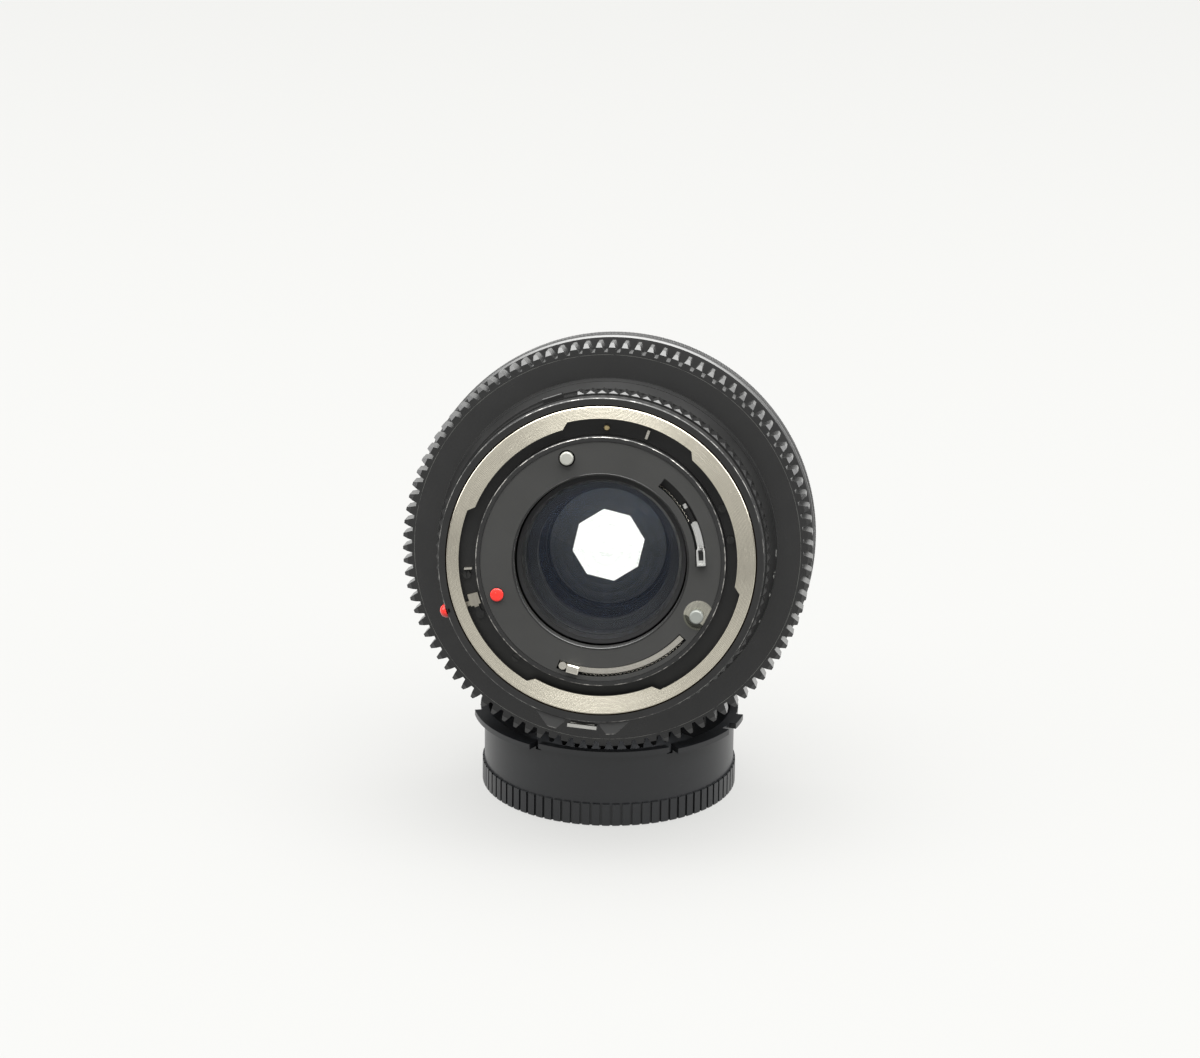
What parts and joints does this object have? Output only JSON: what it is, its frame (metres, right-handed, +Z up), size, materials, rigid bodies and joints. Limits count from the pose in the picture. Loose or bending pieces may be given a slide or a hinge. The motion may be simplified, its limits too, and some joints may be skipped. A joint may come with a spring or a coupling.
{
  "type": "cinema prime lens",
  "caption": "Compact prime lens with a bayonet rear mount, geared focus ring, iris and wide front ring, resting tilted on its upturned rear cap.",
  "frame": {"origin": "centre of the rear cap's closed end, which stands on the table", "axes": "+Z up out of the cap's open end; the lens axis lies in the YZ plane, its front towards +Y and tilted down 13.4 degrees"},
  "size_m": [0.08, 0.0691, 0.0926],
  "materials": {
    "cap_plastic": "satin moulded black plastic",
    "black_alloy": "black anodised alloy, satin",
    "black_enamel": "black enamel, satin",
    "bright_mount": "warm bright hard-anodised mount metal",
    "red_enamel": "glossy red dot",
    "blackened_steel": "blackened screw steel",
    "brass": "worn brass",
    "steel": "bright stamped steel",
    "spring_steel": "fine coiled spring wire",
    "plate_plastic": "matt dark grey plate",
    "grey_plastic": "light grey pin",
    "chrome": "polished chrome bar",
    "button_black": "black button with bright worn edges",
    "ring_plastic": "black ring with small pyramids",
    "grip_rubber": "grooved black rubber",
    "gear_alloy": "black anodised gear, edges catching light",
    "front_ring_alloy": "black anodised ring with a fine diamond knurl",
    "matt_black": "dull black inside the lens",
    "coated_glass": "coated optical glass",
    "blade_steel": "blackened blade steel"
  },
  "bodies": {
    "cap": {"rear_cap": "cap_plastic"},
    "lens_shell": {"barrel_core": "black_alloy", "bayonet_ring": "bright_mount", "mount_collar": "black_enamel", "collar_index_dot": "red_enamel", "depth_scale_ring": "black_enamel", "recess_screws": "blackened_steel", "stop_pin": "brass", "stop_keys": "steel", "release_spring": "spring_steel"},
    "mount_housing": {"rear_housing": "black_alloy", "rear_plate": "plate_plastic", "plate_index_dot": "red_enamel", "signal_pin": "grey_plastic", "reserved_pin": "grey_plastic", "reserved_pin_cup": "blackened_steel", "housing_retainer": "black_alloy", "auto_lever_spring": "spring_steel", "signal_lever_spring": "spring_steel"},
    "signal_lever": {"signal_lever": "steel"},
    "auto_lever": {"auto_lever": "steel"},
    "release_button": {"release_button": "chrome"},
    "lock_lever": {"lock_lever": "steel"},
    "aperture_ring": {"aperture_ring": "ring_plastic"},
    "aperture_lock_button": {"aperture_lock_button": "button_black"},
    "focus_ring": {"focus_ring": "black_alloy", "focus_grip": "grip_rubber", "drive_gear": "gear_alloy"},
    "optics": {"inner_barrel": "black_alloy", "guide_keys": "brass", "front_barrel": "black_alloy", "front_ring": "front_ring_alloy", "name_ring": "black_enamel", "front_cell": "black_alloy", "front_element": "coated_glass", "second_element": "coated_glass", "third_element": "coated_glass", "iris_base": "matt_black", "iris_cover": "matt_black", "rear_cell": "matt_black", "doublet_front_element": "coated_glass", "doublet_rear_element": "coated_glass", "sixth_element": "coated_glass", "rear_element": "coated_glass", "rear_retaining_ring": "black_alloy"},
    "iris_actuator": {"iris_actuator": "matt_black"},
    "iris_blade_1": {"iris_blade_1": "blade_steel"},
    "iris_blade_2": {"iris_blade_2": "blade_steel"},
    "iris_blade_3": {"iris_blade_3": "blade_steel"},
    "iris_blade_4": {"iris_blade_4": "blade_steel"},
    "iris_blade_5": {"iris_blade_5": "blade_steel"},
    "iris_blade_6": {"iris_blade_6": "blade_steel"},
    "iris_blade_7": {"iris_blade_7": "blade_steel"},
    "iris_blade_8": {"iris_blade_8": "blade_steel"}
  },
  "joints": [
    {"name": "lens_lift", "type": "slide", "parent": "cap", "child": "lens_shell", "axis": [0, 0, 1], "range_m": [0, 0.06]},
    {"name": "mount_lock", "type": "hinge", "parent": "lens_shell", "child": "mount_housing", "pos_m": [0, -0.03415, 0.05874], "axis": [0, -0.9728, 0.2317], "range_deg": [0, 62]},
    {"name": "signal_lever_swing", "type": "hinge", "parent": "mount_housing", "child": "signal_lever", "pos_m": [0, -0.03415, 0.05874], "axis": [0, -0.9728, 0.2317], "range_deg": [0, 44], "stiffness_Nm_per_rad": 0.002, "springref_deg": -11.46},
    {"name": "auto_lever_swing", "type": "hinge", "parent": "mount_housing", "child": "auto_lever", "pos_m": [0, -0.03415, 0.05874], "axis": [0, -0.9728, 0.2317], "range_deg": [0, 40], "stiffness_Nm_per_rad": 0.002, "springref_deg": -11.46},
    {"name": "release_push", "type": "slide", "parent": "lens_shell", "child": "release_button", "axis": [0.0906, 0.2307, 0.9688], "range_m": [0, 0.0008], "stiffness_N_per_m": 600, "springref_m": -0.0005},
    {"name": "lock_lever_swing", "type": "hinge", "parent": "lens_shell", "child": "lock_lever", "pos_m": [-0.02301, -0.0347, 0.04734], "axis": [0, -0.9728, 0.2317], "range_deg": [-6, 0], "stiffness_Nm_per_rad": 0.0005, "springref_deg": 17.19},
    {"name": "aperture_turn", "type": "hinge", "parent": "lens_shell", "child": "aperture_ring", "pos_m": [0, -0.02495, 0.05655], "axis": [0, -0.9728, 0.2317], "range_deg": [-32.4, 35.6]},
    {"name": "aperture_lock_push", "type": "slide", "parent": "aperture_ring", "child": "aperture_lock_button", "axis": [0.3256, -0.2191, -0.9198], "range_m": [0, 0.0008], "stiffness_N_per_m": 400, "springref_m": -0.0005},
    {"name": "focus_turn", "type": "hinge", "parent": "lens_shell", "child": "focus_ring", "pos_m": [0, -0.00934, 0.05284], "axis": [0, -0.9728, 0.2317], "range_deg": [-160, 0]},
    {"name": "optics_slide", "type": "slide", "parent": "lens_shell", "child": "optics", "axis": [0, 0.9728, -0.2317], "range_m": [-0.00691, 0.00001]},
    {"name": "iris_actuator_turn", "type": "hinge", "parent": "optics", "child": "iris_actuator", "pos_m": [0, -0.00759, 0.05242], "axis": [0, -0.9728, 0.2317], "range_deg": [-11.92, 13.1]},
    {"name": "iris_blade_1_turn", "type": "hinge", "parent": "optics", "child": "iris_blade_1", "pos_m": [0.01748, -0.00846, 0.06127], "axis": [0, -0.9728, 0.2317], "range_deg": [-13.84, 15.2]},
    {"name": "iris_blade_2_turn", "type": "hinge", "parent": "optics", "child": "iris_blade_2", "pos_m": [0.00641, -0.00617, 0.0709], "axis": [0, -0.9728, 0.2317], "range_deg": [-13.84, 15.2]},
    {"name": "iris_blade_3_turn", "type": "hinge", "parent": "optics", "child": "iris_blade_3", "pos_m": [-0.00841, -0.00636, 0.0701], "axis": [0, -0.9728, 0.2317], "range_deg": [-13.84, 15.2]},
    {"name": "iris_blade_4_turn", "type": "hinge", "parent": "optics", "child": "iris_blade_4", "pos_m": [-0.01831, -0.00892, 0.05933], "axis": [0, -0.9728, 0.2317], "range_deg": [-13.84, 15.2]},
    {"name": "iris_blade_5_turn", "type": "hinge", "parent": "optics", "child": "iris_blade_5", "pos_m": [-0.01748, -0.01236, 0.04491], "axis": [0, -0.9728, 0.2317], "range_deg": [-13.84, 15.2]},
    {"name": "iris_blade_6_turn", "type": "hinge", "parent": "optics", "child": "iris_blade_6", "pos_m": [-0.00641, -0.01465, 0.03528], "axis": [0, -0.9728, 0.2317], "range_deg": [-13.84, 15.2]},
    {"name": "iris_blade_7_turn", "type": "hinge", "parent": "optics", "child": "iris_blade_7", "pos_m": [0.00841, -0.01446, 0.03608], "axis": [0, -0.9728, 0.2317], "range_deg": [-13.84, 15.2]},
    {"name": "iris_blade_8_turn", "type": "hinge", "parent": "optics", "child": "iris_blade_8", "pos_m": [0.01831, -0.01189, 0.04685], "axis": [0, -0.9728, 0.2317], "range_deg": [-13.84, 15.2]}
  ],
  "couplings": [
    {"joint": "optics_slide", "follows": "focus_turn", "m_per_rad": 0.0024709},
    {"joint": "iris_actuator_turn", "follows": "aperture_turn", "ratio": 0.36765},
    {"joint": "iris_blade_1_turn", "follows": "aperture_turn", "ratio": 0.42672},
    {"joint": "iris_blade_2_turn", "follows": "aperture_turn", "ratio": 0.42672},
    {"joint": "iris_blade_3_turn", "follows": "aperture_turn", "ratio": 0.42672},
    {"joint": "iris_blade_4_turn", "follows": "aperture_turn", "ratio": 0.42672},
    {"joint": "iris_blade_5_turn", "follows": "aperture_turn", "ratio": 0.42672},
    {"joint": "iris_blade_6_turn", "follows": "aperture_turn", "ratio": 0.42672},
    {"joint": "iris_blade_7_turn", "follows": "aperture_turn", "ratio": 0.42672},
    {"joint": "iris_blade_8_turn", "follows": "aperture_turn", "ratio": 0.42672}
  ]
}
